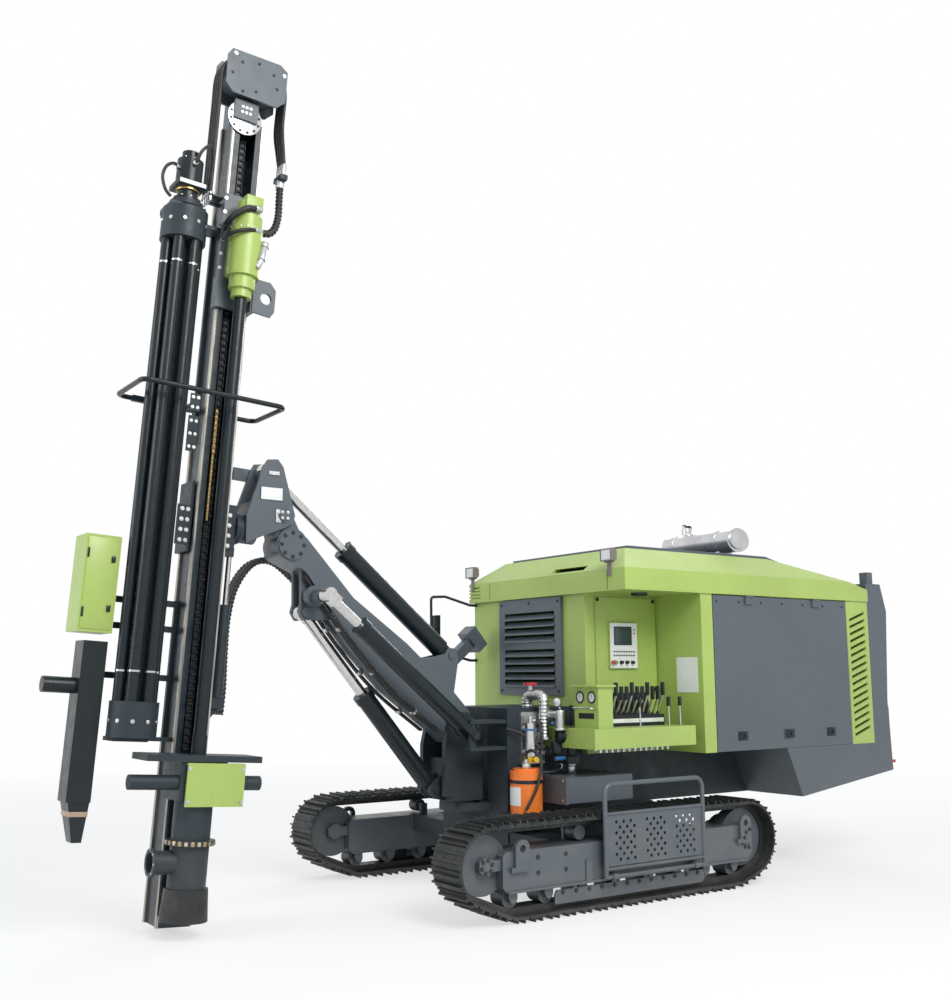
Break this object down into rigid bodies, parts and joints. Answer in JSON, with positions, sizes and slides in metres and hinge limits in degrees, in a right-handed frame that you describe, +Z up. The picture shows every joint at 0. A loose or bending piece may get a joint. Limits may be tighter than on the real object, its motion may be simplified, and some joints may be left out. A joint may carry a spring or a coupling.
{
  "type": "crawler drill rig",
  "caption": "Tracked down-the-hole drill rig: long feed mast with rod magazine on a knuckled boom, engine housing behind, operator's recess at its front corner.",
  "frame": {"origin": "on the ground under the middle of the machine's length and width", "axes": "+X towards the mast, the machine's front; +Y to the machine's left; +Z up"},
  "size_m": [7.2294, 2.4898, 6.0303],
  "materials": {
    "black_paint": "satin",
    "dark_paint": "satin",
    "engine_paint": "matte",
    "green_paint": "satin",
    "grey_paint": "satin",
    "hose_rubber": "matte",
    "orange_paint": "gloss",
    "red_paint": "gloss",
    "rod_chrome": "polished",
    "steel": "brushed",
    "track_steel": "worn",
    "zinc": "satin"
  },
  "bodies": {
    "carrier": {"track_left": "track_steel", "track_right": "track_steel", "track_frame_left": "grey_paint", "track_frame_right": "grey_paint", "centre_frame": "dark_paint", "swing_jaw": "dark_paint", "tail_frame": "grey_paint", "body_shell": "green_paint", "roof_shell": "green_paint", "roof_cover": "grey_paint", "engine_block": "engine_paint", "louvre_panel": "grey_paint", "muffler": "zinc", "work_lamps": "zinc", "control_tray": "green_paint", "control_levers": "black_paint", "control_cover": "green_paint", "mirror_set": "black_paint", "mast_rest": "grey_paint", "tank": "grey_paint", "canister": "orange_paint", "air_valves": "zinc", "extinguishers": "red_paint"},
    "step_platform": {"step_platform": "grey_paint"},
    "side_door_left": {"side_door_left": "grey_paint"},
    "side_door_right": {"side_door_right": "grey_paint"},
    "swing_post": {"swing_post": "dark_paint"},
    "boom": {"boom": "grey_paint", "boom_hoses": "hose_rubber"},
    "lift_barrel": {"lift_barrel": "black_paint"},
    "lift_rod": {"lift_rod": "rod_chrome"},
    "tilt_barrel": {"tilt_barrel": "black_paint"},
    "tilt_rod": {"tilt_rod": "rod_chrome"},
    "swing_knuckle": {"swing_knuckle": "dark_paint"},
    "swing_barrel": {"swing_barrel": "black_paint"},
    "swing_rod": {"swing_rod": "rod_chrome"},
    "mast_head": {"mast_head": "grey_paint"},
    "feed_swing_barrel": {"feed_swing_barrel": "black_paint"},
    "feed_swing_rod": {"feed_swing_rod": "rod_chrome"},
    "feed_holder": {"feed_holder": "dark_paint", "compensation_rod": "rod_chrome"},
    "mast": {"feed_beam": "steel", "feed_chain": "black_paint", "top_block": "grey_paint", "drill_table": "dark_paint", "table_guard": "green_paint", "dust_hood": "dark_paint", "hood_boot": "hose_rubber", "compensation_barrel": "dark_paint", "carousel_bracket": "dark_paint", "carousel_motor": "black_paint", "electric_box": "green_paint", "dust_housing": "black_paint", "guard_rail": "black_paint", "head_hoses": "hose_rubber"},
    "rotary_head": {"rotary_head": "green_paint", "carriage": "grey_paint"},
    "drill_string": {"drill_string": "black_paint"},
    "carousel": {"carousel": "dark_paint", "spare_rods": "black_paint"}
  },
  "joints": [
    {"name": "step_fold", "type": "hinge", "parent": "carrier", "child": "step_platform", "pos_m": [-0.199, 1.224, 0.22], "axis": [-1, 0, 0], "range_deg": [0, 90]},
    {"name": "door_left", "type": "hinge", "parent": "carrier", "child": "side_door_left", "pos_m": [-0.199, 1.026, 2.215], "axis": [1, 0, 0], "range_deg": [0, 85]},
    {"name": "door_right", "type": "hinge", "parent": "carrier", "child": "side_door_right", "pos_m": [-0.199, -1.026, 2.215], "axis": [-1, 0, 0], "range_deg": [0, 85]},
    {"name": "boom_swing", "type": "hinge", "parent": "carrier", "child": "swing_post", "pos_m": [0.501, 0, 0], "axis": [0, 0, 1], "range_deg": [-20, 20]},
    {"name": "boom_lift", "type": "hinge", "parent": "swing_post", "child": "boom", "pos_m": [0.601, 0, 1.215], "axis": [0, 1, 0], "range_deg": [-8, 40]},
    {"name": "head_tilt", "type": "hinge", "parent": "boom", "child": "mast_head", "pos_m": [2.062, 0, 2.707], "axis": [0, -1, 0], "range_deg": [-15, 85], "deforming": ["boom_hoses"]},
    {"name": "feed_swing", "type": "hinge", "parent": "mast_head", "child": "feed_holder", "pos_m": [2.35616, 0, 2.6033], "axis": [0.9979, 0, 0.0645], "range_deg": [-12, 12]},
    {"name": "feed_slide", "type": "slide", "parent": "feed_holder", "child": "mast", "axis": [-0.0645, 0, 0.9979], "range_m": [-0.25, 0.3]},
    {"name": "head_feed", "type": "slide", "parent": "mast", "child": "rotary_head", "axis": [0.0645, 0, -0.9979], "range_m": [-0.4, 2.85], "deforming": ["head_hoses"]},
    {"name": "spindle", "type": "hinge", "parent": "rotary_head", "child": "drill_string", "pos_m": [2.761, 0.27, 0], "axis": [-0.0645, 0, 0.9979], "continuous": true},
    {"name": "carousel_turn", "type": "hinge", "parent": "mast", "child": "carousel", "pos_m": [3.18012, 0.2, 0.0271], "axis": [-0.0645, 0, 0.9979], "continuous": true},
    {"name": "lift_barrel_pin", "type": "hinge", "parent": "swing_post", "child": "lift_barrel", "pos_m": [0.753, 0, 0.759], "axis": [0, 1, 0], "range_deg": [-7.64, 37]},
    {"name": "lift_rod_slide", "type": "slide", "parent": "lift_barrel", "child": "lift_rod", "axis": [0.6481, 0, 0.7615], "range_m": [-0.3156, 0.0647]},
    {"name": "tilt_barrel_pin", "type": "hinge", "parent": "boom", "child": "tilt_barrel", "pos_m": [0.617, 0, 1.746], "axis": [0, -1, 0], "range_deg": [-1.22, 5.48]},
    {"name": "tilt_rod_slide", "type": "slide", "parent": "tilt_barrel", "child": "tilt_rod", "axis": [0.766, 0, 0.6428], "range_m": [-0.4103, 0.0741]},
    {"name": "swing_knuckle_pin", "type": "hinge", "parent": "carrier", "child": "swing_knuckle", "pos_m": [0.621, 0.35, 1.157], "axis": [0, 0, 1], "range_deg": [-22.36, 22.36]},
    {"name": "swing_barrel_pin", "type": "hinge", "parent": "swing_knuckle", "child": "swing_barrel", "pos_m": [0.621, 0.35, 1.157], "axis": [0, 1, 0], "range_deg": [-8.28, 40.18]},
    {"name": "swing_rod_slide", "type": "slide", "parent": "swing_barrel", "child": "swing_rod", "axis": [0.7713, 0, 0.6365], "range_m": [-0.0938, 0.0938]},
    {"name": "feed_barrel_pin", "type": "hinge", "parent": "mast_head", "child": "feed_swing_barrel", "pos_m": [2.37431, -0.165, 3.03537], "axis": [0.9979, 0, 0.0645], "range_deg": [-1.78, 1.78]},
    {"name": "feed_rod_slide", "type": "slide", "parent": "feed_swing_barrel", "child": "feed_swing_rod", "axis": [0.057, -0.4698, -0.8809], "range_m": [-0.0745, 0.0745]}
  ],
  "couplings": [
    {"joint": "lift_barrel_pin", "follows": "boom_lift", "ratio": 0.9175},
    {"joint": "lift_rod_slide", "follows": "boom_lift", "m_per_rad": -0.44925},
    {"joint": "tilt_barrel_pin", "follows": "head_tilt", "ratio": 0.061},
    {"joint": "tilt_rod_slide", "follows": "head_tilt", "m_per_rad": -0.27525},
    {"joint": "swing_knuckle_pin", "follows": "boom_swing", "ratio": 1.103},
    {"joint": "swing_barrel_pin", "follows": "boom_lift", "ratio": 0.997},
    {"joint": "swing_rod_slide", "follows": "boom_swing", "m_per_rad": -0.263},
    {"joint": "feed_barrel_pin", "follows": "feed_swing", "ratio": 0.123},
    {"joint": "feed_rod_slide", "follows": "feed_swing", "m_per_rad": 0.346}
  ]
}
